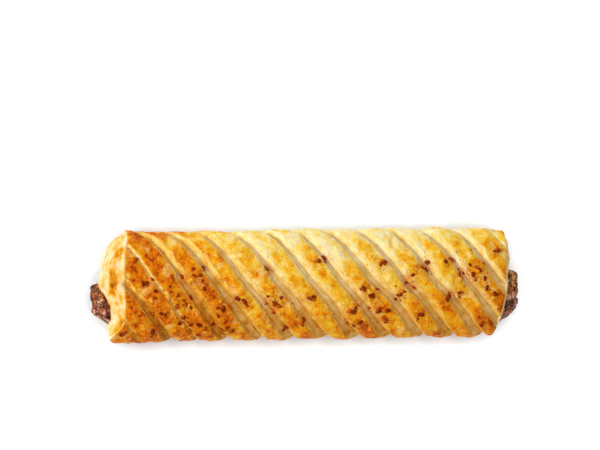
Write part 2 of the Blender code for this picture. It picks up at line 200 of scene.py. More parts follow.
LEAF_BAKE = 0.20
LEAF_GAP_SHADE = 0.06  # how much darker it is between two layers, as painted shade
LEAF_GAP_FOOT = 0.2  # and how much of the foot's painted shade shows there
LEAF_SWINGS = ((0.12, 16.0, 9.0, 7.0), (0.18, 30.0, 30.0, 3.0))  # (swing, waves by turn, wall, side)
RIM_EASE = 0.12  # share of the wall over which the slashes fade out
MOUTH_SHADE = (0.93, 0.05)  # painted shade darkens the mouth from this share of the wall, over this share
GRAIN_STRETCH = 0.28  # below 1 the layers' streaks run long
GRAIN_WALL = 0.009  # length that the streaks take the wall to have
BORE_ROWS = 5
# the bore's wall, hidden inside, gets part of the foot's painted shade
BORE_MASKS = {"bake": 0.3, "leaf": 1.0, "foot": 0.6}
LEFT_REACHES = 1.25  # reach of the patches below, in half sizes
LEFT_RAGGED = (0.6, 40.0, 7.0)  # its swing, waves by turn and wall
LEFT_TOASTED = (  # (turn, wall, half sizes, how much browner) on the left end
    (-0.138, 0.14, 0.045, 0.12, 0.38), (-0.045, 0.27, 0.080, 0.13, 0.42), (0.042, 0.12, 0.024, 0.08, 0.34),
    (0.150, 0.16, 0.045, 0.16, 0.38), (-0.230, 0.40, 0.050, 0.30, 0.20), (0.020, 0.34, 0.050, 0.14, 0.26),
)

MINCE_COLUMNS = 250
MINCE_CAP_RINGS = 46
MINCE_RING_POWER = 0.8  # below 1 the rings are closer towards the rim
MINCE_SIDE_RINGS = 36  # on the part of its side that may show
MINCE_SIDE_LENGTH = 0.0095
MINCE_INNER_RINGS = 6
MINCE_GRAINS = ((0.0026, 0.00070), (0.0012, 0.00042), (0.0005, 0.00016))  # (size, height)
MINCE_ROUND = 1.5  # how steeply a grain rises from the crease round it
MINCE_SUNK = 0.90  # share of the grains' height that is taken off again
MINCE_WARP = (0.0007, 0.0017)  # how far the grains are bent out of shape, and over what size
WARP_SEEDS = ((9.3, -1.5, -8.0), (0.0, 0.0, 0.0), (6.3, 0.2, -2.7))
MINCE_APART = 0.03  # keeps the two ends' grains from being alike
MINCE_STEPS = (0.004, 0.02)  # steps in turn and run that its normal is taken over

# (kinds one after another, subdivisions of the ball that a chip is cut from)
FLAKES = (("dark", "dark", "red", "dark", "dark", "red", "dark", "golden"), 3)
SPECKS = (("red", "golden", "red", "golden", "dark"), 2)
SPECK_COUNT = 300
SPECK_RADIUS = (0.00016, 0.00045)
SPECK_SCATTER = (0.0045, 0.040)  # how widely they lie round a clump, in x and turns
SPECK_LIMIT = 0.078  # furthest x of a speck
CHIP_CUTS = 7
CHIP_REACH = (0.34, 0.80)  # how far from its middle a chip is cut flat, in radii
CHIP_GROW = 1.25  # its radius before the cuts
CHIP_FLAT = 0.55
CRUST_STEPS = (0.005, 0.0005)  # steps in turn and x that the crust's normal is taken over
STAIN_REACH = 0.0025
STAIN_LIMIT = 2.5  # reaches beyond which a flake stains nothing
STAIN_STRENGTH = 0.6

# ---- baking, with some painted light and shade ----
# How far a place is baked runs from 0, raw cream, to 1, dark brown; a few zones also carry painted light
# or shade, as noted. A zone is 0 up to a value of the spot's turn, x or share of a pitch, and rises to 1
# over a length from there, which may be negative.

FRONT, OFF_FRONT = ("turn", -0.24, 0.46), ("turn", 0.22, -0.46)
BACK, OFF_BACK = ("turn", -0.26, -0.10), ("turn", -0.36, 0.10)
# LOWEST, the low -Y side near the board, is browner partly from baking and partly as painted shade
UPPER, LOW, LOWEST = ("turn", -0.13, -0.07), ("turn", 0.08, 0.12), ("turn", 0.13, 0.06)
LEFT, OFF_LEFT = ("x", -0.022, -0.024), ("x", -0.046, 0.024)
LEFT_TIP, OFF_LEFT_TIP = ("x", -0.062, -0.010), ("x", -0.060, 0.012)
RIGHT, RIGHT_TIP = ("x", 0.030, 0.030), ("x", 0.066, 0.008)
# BESIDE_FLANK, a crown's side next to its flank, is paler partly from less baking and partly as painted
# light where it faces the key
BESIDE_FLANK = ("share", 0.38, -0.22)
CROWN_ZONES = (  # (how much browner, in which zones)
    (0.35,), (0.22, FRONT), (0.30, BACK), (-0.16, UPPER, OFF_BACK, OFF_LEFT_TIP), (0.10, LOWEST, OFF_LEFT),
    (0.27, LEFT), (-0.138, LEFT, LOW), (0.15, LEFT_TIP), (-0.045, LEFT_TIP, LOW), (0.05, RIGHT),
    (0.14, RIGHT_TIP), (-0.20, BESIDE_FLANK, OFF_FRONT, OFF_LEFT),
    (0.14, BESIDE_FLANK, OFF_FRONT, OFF_LEFT, BACK),
)
CROWN_MOST = 0.82
FLANK_ZONES = (
    (0.14,), (0.40, ("turn", -0.12, 0.28)), (0.26, BACK), (0.26, ("x", -0.020, -0.030)), (0.10, LOWEST),
)
FLANK_SHUT = -0.40  # how much browner where the slash is shut
FLANK_PATCHES = 0.6  # share of the patches' swing
BASE_ZONES = ((0.62,), (0.10, LOWEST))
PATCH_SIZES = (0.0090, 0.0036)  # browner and paler patches everywhere
PATCH_SWING = 0.20
PATCH_RAGGED = 2  # how strongly they roughen the patches below
BAKED_PATCHES = (  # (slashes from the middle, turn, half sizes, how much browner)
    (-5.45, 0.13, 0.45, 0.09, 0.14), (-4.70, 0.165, 0.50, 0.05, 0.20), (-4.50, 0.08, 0.35, 0.06, -0.26),
    (-3.60, 0.13, 0.40, 0.08, 0.12), (-2.30, 0.00, 0.40, 0.08, -0.12), (-1.50, 0.16, 0.40, 0.06, 0.14),
    (0.45, 0.18, 0.50, 0.07, 0.30), (1.45, -0.12, 0.55, 0.12, -0.24), (1.50, 0.12, 0.40, 0.08, 0.12),
    (2.40, 0.00, 0.45, 0.09, -0.16), (3.50, 0.12, 0.40, 0.08, 0.06), (4.60, 0.16, 0.50, 0.09, 0.24),
    (4.75, -0.02, 0.30, 0.12, 0.12), (5.50, 0.08, 0.45, 0.08, 0.12), (6.50, -0.16, 0.50, 0.08, 0.12),
)

# ---- colours, in screen values ----

SPOT_BROWN = (206, 104, 8)
STAIN_ORANGE = (210, 108, 6)
# painted shade in the slashes' creases, between the leaves and at the mouth
FOOT_SHADE_BROWN = (150, 84, 20)
# golden crumb colour, also painted light, on the right end's top
MINCE_GOLDEN_LIT = (250, 158, 70)
# painted shade in the creases between the mince's grains
MINCE_CREASE_SHADE = (48, 11, 5)
NOISE_MOST = (0.3, 0.7)  # most of the materials' noise lies between these
FLAKE_LOOKS = {  # kind: (ramp of colours, roughness)
    "dark": (((0.0, (92, 26, 4)), (0.45, (128, 42, 5)), (0.75, (160, 64, 10)), (1.0, (196, 112, 40))), 0.65),
    "red": (((0.0, (138, 40, 4)), (0.5, (170, 62, 8)), (1.0, (206, 102, 24))), 0.60),
    "golden": (((0.0, (208, 120, 10)), (0.5, (232, 158, 36)), (1.0, (248, 202, 90))), 0.55),
}

# ---- camera, lights and board ----

CAMERA_TILT = math.radians(15.5)  # from straight above towards -X
CAMERA_AXES = Matrix.Rotation(-CAMERA_TILT, 3, "Y")  # its columns are the camera's right, up and back
CAMERA_ROLL = math.radians(-0.70)
CAMERA_AWAY = 5.0
VIEW_WIDTH = 0.2462  # width of the picture at the stick
SENSOR = 36.0
AIM = (CAD_LOW + CAD_HIGH) / 2 + Vector((-0.0018, 0.0245, -0.0012))  # what the picture centres on
KEY_FROM = (-0.58, 0.12, 0.90)  # direction of the key light along those axes
KEY_AWAY = 1.6
KEY_SIZE = 1.0
KEY_POWER = 21.5
KEY_COLOUR = (1.0, 0.97, 0.92)
SKY_COLOUR = (0.98, 0.99, 1.0, 1.0)
SKY_STRENGTH = 0.49
FLOOR_SIZE = 6.0
FLOOR_COLOUR = (0.64, 0.71, 0.79, 1.0)
GLOW_COLOUR = (1.0, 0.98, 0.95, 1.0)
FLOOR_GLOW = 0.72
SHADOW_REACH = 0.009  # how far from the stick the glow is shaded
SHADOW_DEPTH = 2.0  # how steeply it falls there


def clamp(value, low=0.0, high=1.0):
    return min(max(value, low), high)


def smooth(value):
    value = clamp(value)
    return value * value * (3 - 2 * value)


def rise(value, start, length):
    """0 up to start, 1 from start + length on, and smooth between them."""
    return smooth((value - start) / length)


def mix(first, second, share):
    return first + (second - first) * share


def bump(value, height, centre, half_width):
    """height at the centre, falling smoothly to 0 at half_width on either side."""
    return height * smooth(1 - abs(value - centre) / half_width)


def wobble(*place):
    """Smooth noise between -1 and 1."""
    return noise.noise(Vector(place))


# ---- section and slashes ----


def section_table():
    """The smooth skin's girth, and turn, y, z and outward normal round it."""
    angle = np.linspace(-math.pi, math.pi, SECTION_SAMPLES + 1)
    side, up = np.sin(angle), np.cos(angle)
    power = np.where(up > 0, TOP_POWER, BASE_POWER)
    reach = np.where(up > 0, SKIN_RISE, SKIN_DROP)
    y = -SKIN_HALF_WIDTH * np.sign(side) * np.abs(side) ** (2 / power)
    z = np.maximum(WIDEST_LEVEL + reach * np.sign(up) * np.abs(up) ** (2 / power), 0.0)
    run = np.concatenate([[0.0], np.cumsum(np.hypot(np.diff(y), np.diff(z)))])
    dy, dz = np.gradient(y, run), np.gradient(z, run)
    length = np.hypot(dy, dz)
    return run[-1], (run / run[-1] - 0.5, y, z, dz / length, -dy / length)


SKIN_GIRTH, SECTION = section_table()
GRAIN_GIRTH = SKIN_GIRTH * GRAIN_STRETCH


def section_at(turn):
    """(y, z, normal y, normal z) of the smooth skin."""
    return tuple(float(np.interp(turn, SECTION[0], column)) for column in SECTION[1:])


def relief_share(turn):
    """How much of the slashes' relief shows: all of it above, none on the flat base."""
    return 1 - rise(abs(turn), FADE_START, FADE_END - FADE_START)


def slash_run(turn):
    """How many pitches a slash has run along X at a turn."""
    eased = turn - SLASH_EASE * math.sin(math.tau * turn) / math.tau
    return SLASHES_PER_TURN * eased


def slash_x(number, turn):
    """Where the foot of a slash crosses a turn."""
    even = SLASH_PITCH * (number - FIRST_SLASH + slash_run(turn))
    stray = SLASH_STRAY.get(number, 0.0) + SLASH_WANDER * wobble(number * 3.7, turn * WANDER_WAVES, 1.3)
    lead, lead_from, lead_over = SLASH_LEAD
    stray += (lead * SLASH_PITCH + SLASH_BEND.get(number, 0.0)) * rise(turn, lead_from, lead_over)
    stray += FINE_WANDER * wobble(number * 1.9, turn * FINE_WAVES, 4.4)
    return even + stray * relief_share(turn)


def slash_shut(number, turn):
    """How far a slash is shut: 0 for an open one."""
    if number not in SHUT_SLASHES:
        return 0.0
    first, last, share = SHUT_SLASHES[number]
    from_side = smooth((turn - first) / SHUT_EASE + 0.5)
    return share * from_side * smooth((last - turn) / SHUT_EASE + 0.5)


def slash_knots(number, turn):
    """Shares of the pitch, from one slash to the next, where the ridge's profile bends."""
    share = relief_share(turn)
    stray = FLANK_UNEVEN * wobble(number * 2.3, turn * WANDER_WAVES, 8.1)
    stray += EDGE_WANDER * wobble(number * 6.1, turn * FINE_WAVES, 3.3)
    stray += EDGE_RAGGED * wobble(number * 2.9, turn * EDGE_WAVES, 7.7)
    flank = max(FLANK_SHARE + stray * share, THIN_FLANK) * (1 - slash_shut(number, turn))
    late = FLOOR_UNEVEN * wobble(number * 4.1, turn * WANDER_WAVES, 2.6)
    late += EDGE_WANDER * wobble(number * 5.3, turn * FINE_WAVES, 6.9)
    late += EDGE_RAGGED * wobble(number * 8.3, turn * EDGE_WAVES, 1.1)
    late -= EDGE_EARLY[0] * rise(turn, *EDGE_EARLY[1:])
    late += EDGE_LATE[0] * smooth((EDGE_LATE[1] - slash_x(number, turn)) / EDGE_LATE[2])
    late = min(late * share, LATEST)
    shut = slash_shut(number + 1, turn)
    edge = mix(EDGE_SHARE + late, SHUT_EDGE, shut)
    floor = mix(FLOOR_SHARE + late, SHUT_FLOOR, shut)
    return 0.0, flank, CROWN_SHARE, edge, floor, 1.0


def end_size(x):
    """(width, height) of the section near the cut ends, as shares of its size elsewhere."""
    to_end = CRUST_LENGTH / 2 - abs(x)
    if x < 0:
        return 1 + END_FLARE * smooth(1 - to_end / FLARE_LENGTH), 1.0
    taper = 1 - END_TAPER * smooth(1 - to_end / TAPER_LENGTH)
    return taper, taper


def crust_end(side, turn):
    """x where the crust ends. side is -1 for the left end and 1 for the right one."""
    if side < 0:
        return -CRUST_LENGTH / 2 + bump(turn, *LEFT_SET_BACK) - bump(turn, *LEFT_TONGUE)
    return CRUST_LENGTH / 2 + bump(turn, *RIGHT_LEAN) - bump(turn, *RIGHT_SET_BACK)


def face_x(side, turn):
    """x of the layered face round the mouth."""
    if side < 0:
        reach = LEFT_REACH + bump(turn, *LEFT_TOP_REACH) - bump(turn, *LEFT_NOTCH)
        return -CRUST_LENGTH / 2 - reach
    return crust_end(side, turn) + RIGHT_REACH


def bore_point(turn, gap=0.0):
    """(y, z) on the wall of the bore, or on the filling's side where gap is set."""
    y, z = BORE_CENTRE
    angle = math.tau * turn
    return y - (BORE_HALF_WIDTH - gap) * math.sin(angle), z + (BORE_HALF_HEIGHT - gap) * math.cos(angle)


# ---- crust ----


class Spot:
    """A place on the crust: the slash before it, its share of the pitch after that slash, and its turn."""

    def __init__(self, number, share, turn, x):
        self.number, self.share, self.turn, self.x = number, share, turn, x
        self.knots = slash_knots(number, turn)
        self.flank, self.edge = self.knots[1], self.knots[3]
        bends = range(len(self.knots) - 1)
        self.stretch = max(bend for bend in bends if share >= self.knots[bend] or bend == 0)
        low, high = self.knots[self.stretch], self.knots[self.stretch + 1]
        self.along = clamp((share - low) / (high - low))
        self.relief = relief_share(turn)

    @staticmethod
    def at(x, turn):
        number = math.floor(x / SLASH_PITCH - slash_run(turn) + FIRST_SLASH)
        if x < slash_x(number, turn):
            number -= 1
        elif x >= slash_x(number + 1, turn):
            number += 1
        start, end = slash_x(number, turn), slash_x(number + 1, turn)
        return Spot(number, (x - start) / (end - start), turn, x)

    def crown(self):
        """1 on the browned top of a ridge, 0 in the slash beside it."""
        up = smooth((self.share - self.flank) / LIP_WIDTH + LIP_OVER)
        return up * smooth((self.edge - self.share) / LIP_WIDTH + LIP_OVER)

    def floor(self):
        """1 on the far side and the floor of a slash and low on its flank, 0 on the crown."""
        low = smooth((self.flank * FLOOR_CLIMB - self.share) / FLOOR_EDGE + 0.5)
        past_crown = smooth((self.share - self.edge) / LIP_WIDTH + 0.2)
        return max(low, past_crown) * (1 - FLOOR_LOST * self.shut())

    def shut(self):
        """How far the nearest slash is shut."""
        return slash_shut(self.number if self.share < CROWN_SHARE else self.number + 1, self.turn)

    # the crust's material paints shade into this crease
    def foot(self, half_width=FOOT_WIDTH):
        """1 in the crease at the foot of a slash, and less where the slash is shut."""
        return (1 - self.shut()) * math.exp(-((min(self.share, 1 - self.share) / half_width) ** 2))

    def skin(self):
        """1 on the browned skin and 0 off it, with 0.5 along its edge and a wide slope between."""
        inside = clamp(min(self.share - self.flank, self.edge - self.share) / SKIN_SLOPE + 0.5)
        return max(inside, rise(self.shut(), *SKIN_OVER_SHUT))

    # The crust's material paints these edges pale: partly unbrowned dough, partly painted highlight.
    def rim(self):
        """1 along the edges of a crown, falling to 0 well inside it, and less on the -Y side."""
        first, last = (self.share - self.flank) / RIM_WIDTHS[0], (self.edge - self.share) / RIM_WIDTHS[1]
        lost = RIM_LOW[0] * rise(self.turn, *RIM_LOW[1:])
        return smooth(1 - min(first, last)) * (1 - lost) * (1 - self.shut())

    def profile(self):
        """Height over the foot of the slashes, as a share of the ridge's."""
        first, second = PROFILE_HEIGHTS[self.stretch], PROFILE_HEIGHTS[self.stretch + 1]
        if self.stretch == 0:
            return mix(first, second, self.along ** 0.85)
        if self.stretch == 1:
            return mix(second, first, (1 - self.along) ** 2)
        if self.stretch == 2:
            return mix(first, second, self.along ** 2)
        return mix(first, second, self.along)

    def height(self, point):
        """Height of the crust over the smooth skin. point is its place on that skin."""
        uneven = 1 + RIDGE_UNEVEN * wobble(self.x / RIDGE_WAVE, self.turn * WANDER_WAVES, self.number * 5.1)
        height = RIDGE_HEIGHT * mix(self.profile(), 1.0, SHUT_FILL * self.shut()) * uneven
        crown = self.crown()
        rim = min(abs(self.share - self.flank), abs(self.share - self.edge)) / LIP_WIDTH
        curl, swing, waves = LIP_CURL
        curl += swing * wobble(self.number * 7.7, self.turn * waves, 9.2)
        height += LIP_HEIGHT * curl * math.exp(-rim * rim)
        swing, waves = LAYER_STRAY
        layers = swing * wobble(self.number * 3.1, self.turn * waves, self.stretch)
        layers += SLASH_LAYERS * self.along
        layer = abs((layers % 1.0) * 2 - 1) - 0.5
        height += SLASH_LAYER_HEIGHT * layer * (1 - crown)
        for size, tall in BLISTERS:
            height += tall * wobble(*(point / size)) * mix(BLISTERS_OFF_CROWN, 1.0, crown)
        height -= FOOT_GROOVE[0] * self.foot(FOOT_GROOVE[1])
        height -= FLAKED_DEPTH * flaked(point) * crown
        broken = blotches(point, (7.0, 3.0, 1.0), *CRACKED)
        size, wide, deep = CRACKS
        fissure = clamp(1 - abs(wobble(*(point / size + Vector((2.0, 8.0, 5.0))))) / wide)
        return height - deep * fissure * broken * crown


def blotches(point, seed, size, slope, offset):
    """1 inside scattered blotches, 0 between them."""
    return smooth(wobble(*(point / size + Vector(seed))) * slope + offset)


def flaked(point):
    """1 where the browned skin has flaked off a crown."""
    return blotches(point, (4.0, 9.0, 2.0), *FLAKED)


def crust_point(spot, height=None):
    """A point of the baked crust, or one at an even height over the skin where that is given."""
    y, z, normal_y, normal_z = section_at(spot.turn)
    lump = LUMP_HEIGHT * wobble(spot.x / LUMP_SIZE, y / LUMP_SIZE, z / LUMP_SIZE)
    over = spot.height(Vector((spot.x, y, z))) if height is None else height
    out = (over + lump) * spot.relief
    width, height = end_size(spot.x)
    z = WIDEST_LEVEL + (z + normal_z * out - WIDEST_LEVEL) * height
    return Vector((spot.x + SHIFT, (y + normal_y * out) * width, max(z, 0.0)))


def zoned(spot, terms):
    """The sum of some terms at a spot, each of which holds in its zones."""
    total = 0.0
    for amount, *zones in terms:
        for name, start, length in zones:
            amount *= rise(getattr(spot, name), start, length)
        total += amount
    return total


# Besides baking, this holds painted shade on the low -Y side and painted light beside the flanks.
def crust_bake_and_painted_light(spot, point):
    """How far the crust is baked at a spot."""
    patch = PATCH_SWING * sum(wobble(*(point / size)) for size in PATCH_SIZES)
    crown = zoned(spot, CROWN_ZONES) + patch
    for along, turn, half_along, half_turn, browner in BAKED_PATCHES:
        near = bump(spot.number + spot.share, browner, along, half_along)
        if near:
            crown += near * bump(spot.turn, 1.0, turn, half_turn) * (1 + PATCH_RAGGED * patch)
    flank = zoned(spot, FLANK_ZONES) + FLANK_SHUT * spot.shut() + FLANK_PATCHES * patch
    baked = mix(flank, min(crown, CROWN_MOST), spot.crown())
    return mix(zoned(spot, BASE_ZONES) + patch, baked, spot.relief)


class Sheet:
    """Vertices and faces of the crust, with what its material needs to know at each vertex."""

    MASKS = ("bake", "skin", "rim", "floor", "foot", "leaf", "flaked", "stain")

    def __init__(self):
        self.points, self.faces, self.grain = [], [], []
        self.masks = {name: [] for name in self.MASKS}

    def add(self, point, grain, **masks):
        self.points.append(point)
        self.grain.append(grain)
        for name in self.MASKS:
            self.masks[name].append(masks.get(name, 0.0))
        return len(self.points) - 1

    def add_crust(self, spot, stain):
        point = crust_point(spot)
        smooth_point = Vector((spot.x, *section_at(spot.turn)[:2]))
        across = spot.x - SLASH_PITCH * slash_run(spot.turn)
        return self.add(
            point,
            (across, spot.turn * GRAIN_GIRTH, spot.number * 0.01),
            bake=crust_bake_and_painted_light(spot, point),
            skin=mix(1.0, spot.skin(), spot.relief),
            rim=spot.rim() * spot.relief,
            floor=spot.floor() * spot.relief,
            foot=spot.foot() * spot.relief,
            flaked=flaked(smooth_point) * spot.crown() * spot.relief,
            stain=stain(point),
        )

    def join(self, rows):
        """Faces between rows that run round the stick."""
        for lower, upper in zip(rows, rows[1:]):
            for corners in zip(lower, lower[1:], upper[1:], upper):
                corners = list(dict.fromkeys(corners))
                if len(corners) > 2:
                    self.faces.append(corners)

    def to_object(self, name, material):
        mesh = bpy.data.meshes.new(name)
        mesh.from_pydata(self.points, [], self.faces)
        for mask, values in self.masks.items():
            mesh.attributes.new(mask, "FLOAT", "POINT").data.foreach_set("value", values)
        grain = mesh.attributes.new("grain", "FLOAT_VECTOR", "POINT")
        grain.data.foreach_set("vector", np.array(self.grain, np.float32).ravel())
        mesh.shade_smooth()
        mesh.materials.append(material)
        return link(bpy.data.objects.new(name, mesh))


def column_turns():
    """Turns of the mesh's columns, close together over the slashes and wider apart on the base."""
    base = np.linspace(-0.5, -FADE_END, BASE_COLUMNS + 1)[:-1]
    top = np.linspace(-FADE_END, FADE_END, TOP_COLUMNS + 1)[:-1]
    return [float(turn) for turn in (*base, *top, *-base[::-1])]


def crust_rows(sheet, turns, stain):
    """Lays the slashed sheet round the filling. Returns the loops of vertices at its two cut ends."""
    ends = {}
    for side in (-1, 1):
        ends[side] = [sheet.add_crust(Spot.at(crust_end(side, turn), turn), stain) for turn in turns[:-1]]
        ends[side].append(ends[side][0])
    places = [(knot, step / rows) for knot, rows in enumerate(PROFILE_ROWS) for step in range(rows)]
    rows = [[None] * len(turns) for _ in range(SLASHES_LAID * len(places) + 1)]
    for column, turn in enumerate(turns[:-1]):
        left, right = crust_end(-1, turn), crust_end(1, turn)
        for index, row in enumerate(rows):
            number, place = divmod(index, len(places))
            number -= SLASHES_LAID // 2
            if place == 0:
                start, end = slash_x(number, turn), slash_x(number + 1, turn)
                knots = slash_knots(number, turn)
            knot, step = places[place]
            share = mix(knots[knot], knots[knot + 1], step)
            x = mix(start, end, share)
            if x < left + SNAP:
                row[column] = ends[-1][column]
            elif x > right - SNAP:
                row[column] = ends[1][column]
            else:
                row[column] = sheet.add_crust(Spot(number, share, turn, x), stain)
    turned = SLASHES_PER_TURN * len(places)
    for index, row in enumerate(rows):
        row[-1] = rows[index + turned][0] if index + turned < len(rows) else ends[1][0]
    sheet.join(rows)
    return ends


def toasted(side, turn, wall):
    """How far a cut end's layers are baked."""
    baked = LEAF_BAKE
    for swing, by_turn, by_wall, by_side in LEAF_SWINGS:
        baked += swing * wobble(turn * by_turn, wall * by_wall, side * by_side)
    if side < 0:
        swing, by_turn, by_wall = LEFT_RAGGED
        reach = LEFT_REACHES + swing * wobble(turn * by_turn, wall * by_wall, 5.0)
        for middle, depth, half_turn, half_wall, browner in LEFT_TOASTED:
            away = math.hypot((turn - middle) / half_turn, (wall - depth) / half_wall)
            baked += browner * smooth(reach - away)
    return baked


def leaf_rows(sheet, turns, side, edge):
    """The spread layers of a cut end, from the crust's edge to the mouth of the bore."""
    rings = LEAVES * len(LEAF_PROFILE)
    sway, sway_waves = LEAF_SWAY
    stands, torn, torn_waves = LEAF_TORN
    rows = [edge]
    rims = [crust_point(Spot.at(crust_end(side, turn), turn), RIM_RISE) for turn in turns[:-1]]
    for ring in range(1, rings + 1):
        leaf, part = divmod(ring, len(LEAF_PROFILE))
        gap = 1 - LEAF_PROFILE[part]
        row = []
        for column, turn in enumerate(turns[:-1]):
            start = crust_end(side, turn)
            wall = ring / rings
            wall += sway * wobble(turn * sway_waves, leaf * 1.7, side * 2.0) * math.sin(math.pi * wall)
            corner = sheet.points[edge[column]].lerp(rims[column], smooth(wall / RIM_EASE))
            bore_y, bore_z = bore_point(turn)
            reach = float(np.interp(wall, LAYER_WALLS, LAYER_REACHES))
            ragged = LAYER_RAGGED * wobble(side * 4.0, turn * RAGGED_WAVES, wall * 6.0)
            ragged *= smooth(wall * 8)
            stand = stands + torn * wobble(turn * torn_waves, leaf * 3.3, side * 5.0)
            stand *= side * LEAF_HEIGHT * (1 - gap)
            point = Vector((
                corner.x + (face_x(side, turn) - start) * reach + ragged + stand,
                mix(corner.y, bore_y, wall),
                max(mix(corner.z, bore_z, wall), 0.0),
            ))
            # the gaps between layers and the mouth are darkened as painted shade
            row.append(sheet.add(
                point,
                (wall * GRAIN_WALL, turn * GRAIN_GIRTH, side * 0.5),
                bake=toasted(side, turn, wall) + LEAF_GAP_SHADE * gap,
                leaf=1.0,
                foot=max(LEAF_GAP_FOOT * gap, rise(wall, *MOUTH_SHADE)),
            ))
        row.append(row[0])
        rows.append(row)
    return rows


def bore_rows(sheet, turns, left, right):
    """The wall of the bore, from the right mouth back to the left one."""
    rows = [right]
    for number in range(1, BORE_ROWS):
        share = number / BORE_ROWS
        row = []
        for column in range(len(turns) - 1):
            first, second = sheet.points[right[column]], sheet.points[left[column]]
            row.append(sheet.add(first.lerp(second, share), (share, 0.0, 0.0), **BORE_MASKS))
        row.append(row[0])
        rows.append(row)
    return [*rows, left]


def make_crust(stain):
    sheet = Sheet()
    turns = column_turns()
    ends = crust_rows(sheet, turns, stain)
    left = leaf_rows(sheet, turns, -1, ends[-1])
    right = leaf_rows(sheet, turns, 1, ends[1])
    bore = bore_rows(sheet, turns, left[-1], right[-1])
    for rows in (left[::-1], right, bore):
        sheet.join(rows)
    return sheet.to_object("crust", crust_material())


# ---- filling ----


def filling_end(side, y):
    """How far from the crust's middle the filling's end face is, before its lumps."""
    reach, bulge, centre, half_width, far_fall, near_fall = LEFT_FILLING if side < 0 else RIGHT_FILLING
    fall = smooth((abs(y - centre) - half_width) / (far_fall if y > centre else near_fall))
    return CRUST_LENGTH / 2 + reach + bulge * (1 - fall)


def grain_height(place):
    """Minced meat: packed grains with creases between them. 0 in the creases."""
    warp, warp_size = MINCE_WARP
    bent = [wobble(*(place / warp_size + Vector(seed))) for seed in WARP_SEEDS]
    place = place + Vector(bent) * warp
    height = 0.0
    for size, tall in MINCE_GRAINS:
        near, far = noise.voronoi(place / size)[0][:2]
        height += tall * smooth((far - near) * MINCE_ROUND)
    return height


def filling_skin(side, turn, run):
    """The filling's smooth surface: its end face for a run of 0 to 1, and its side from there on."""
    rim_y, rim_z = bore_point(turn, GAP)
    share = min(run, 1.0)
    y = mix(BORE_CENTRE[0], rim_y, share)
    z = mix(BORE_CENTRE[1], rim_z, share)
    lump = MINCE_LUMP * (1 - share ** 6) * wobble(side * 9.0, y / MINCE_SIZE, z / MINCE_SIZE)
    depth = filling_end(side, y) + lump - MINCE_DOME * share ** 4
    depth -= MINCE_SIDE_LENGTH * max(run - 1, 0.0)
    return Vector((side * depth + SHIFT, y, z))


def filling_point(side, turn, run):
    """(point, crease) on the filling, whose grains stand out along its smooth surface's normal."""
    point = filling_skin(side, turn, run)
    grains = grain_height(point + Vector((side * MINCE_APART, 0.0, 0.0)))
    tallest = sum(tall for _, tall in MINCE_GRAINS)
    by_turn, by_run = MINCE_STEPS
    around = filling_skin(side, turn + by_turn, run) - filling_skin(side, turn - by_turn, run)
    onward = filling_skin(side, turn, run + by_run) - filling_skin(side, turn, max(run - by_run, 0.0))
    normal = around.cross(onward).normalized() * side if run > 0.03 else Vector((side, 0.0, 0.0))
    shown = smooth((2 - run) * 3)
    return point + normal * (grains - tallest * MINCE_SUNK) * shown, 1 - grains / tallest


def make_filling():
    """A closed rod: rings from the middle of the right end over its side to the middle of the left end."""
    points, creases = [], []

    def add(point, crease):
        points.append(point)
        creases.append(crease)
        return len(points) - 1

    def ring(side, run):
        turns = [column / MINCE_COLUMNS - 0.5 for column in range(MINCE_COLUMNS)]
        return [add(*filling_point(side, turn, run)) for turn in turns]

    runs = [(number / MINCE_CAP_RINGS) ** MINCE_RING_POWER for number in range(1, MINCE_CAP_RINGS + 1)]
    runs += [1 + number / MINCE_SIDE_RINGS for number in range(1, MINCE_SIDE_RINGS + 1)]
    rows = [ring(1, run) for run in runs]
    hidden = [points[column] for column in rows[-1]]
    for number in range(1, MINCE_INNER_RINGS):
        share = number / MINCE_INNER_RINGS
        rows.append([add(Vector((mix(place.x, -place.x, share), *place.yz)), 0.5) for place in hidden])
    rows += [ring(-1, run) for run in reversed(runs)]
    faces = []
    for upper, lower in zip(rows, rows[1:]):
        for column in range(MINCE_COLUMNS):
            after = (column + 1) % MINCE_COLUMNS
            faces.append((lower[column], lower[after], upper[after], upper[column]))
    for side, row in ((1, rows[0]), (-1, rows[-1])):
        middle = add(*filling_point(side, 0.0, 0.0))
        for first, second in zip(row, (*row[1:], row[0])):
            faces.append((first, second, middle)[::side])
    mesh = bpy.data.meshes.new("mince")
    mesh.from_pydata(points, [], faces)
    # crease: how deep a point lies between grains; the material darkens it as painted shade
    mesh.attributes.new("crease", "FLOAT", "POINT").data.foreach_set("value", creases)
    mesh.shade_smooth()
    mesh.materials.append(mince_material())
    return link(bpy.data.objects.new("mince", mesh))


# ---- seasoning ----


def flake_spots():
    """(x, turn, radius, spin, tilt) of each flake. A clump's flakes spiral out from its middle."""
    draw = random.Random(FLAKE_SEED)
    spots = []
    for middle, middle_turn, flakes in CLUMPS:
        lean = draw.uniform(0, math.tau)
        for number in range(flakes):
            reach = CLUMP_STEP * math.sqrt(number)
            angle = lean + GOLDEN_ANGLE * number
            x = middle / 1000 + reach * CLUMP_STRETCH * math.cos(angle)
            turn = middle_turn + reach * math.sin(angle) / SKIN_GIRTH
            spin = draw.uniform(0, math.tau)
            spots.append((x, turn, draw.uniform(*FLAKE_RADIUS), spin, draw.gauss(0, FLAKE_TILT)))
    return spots


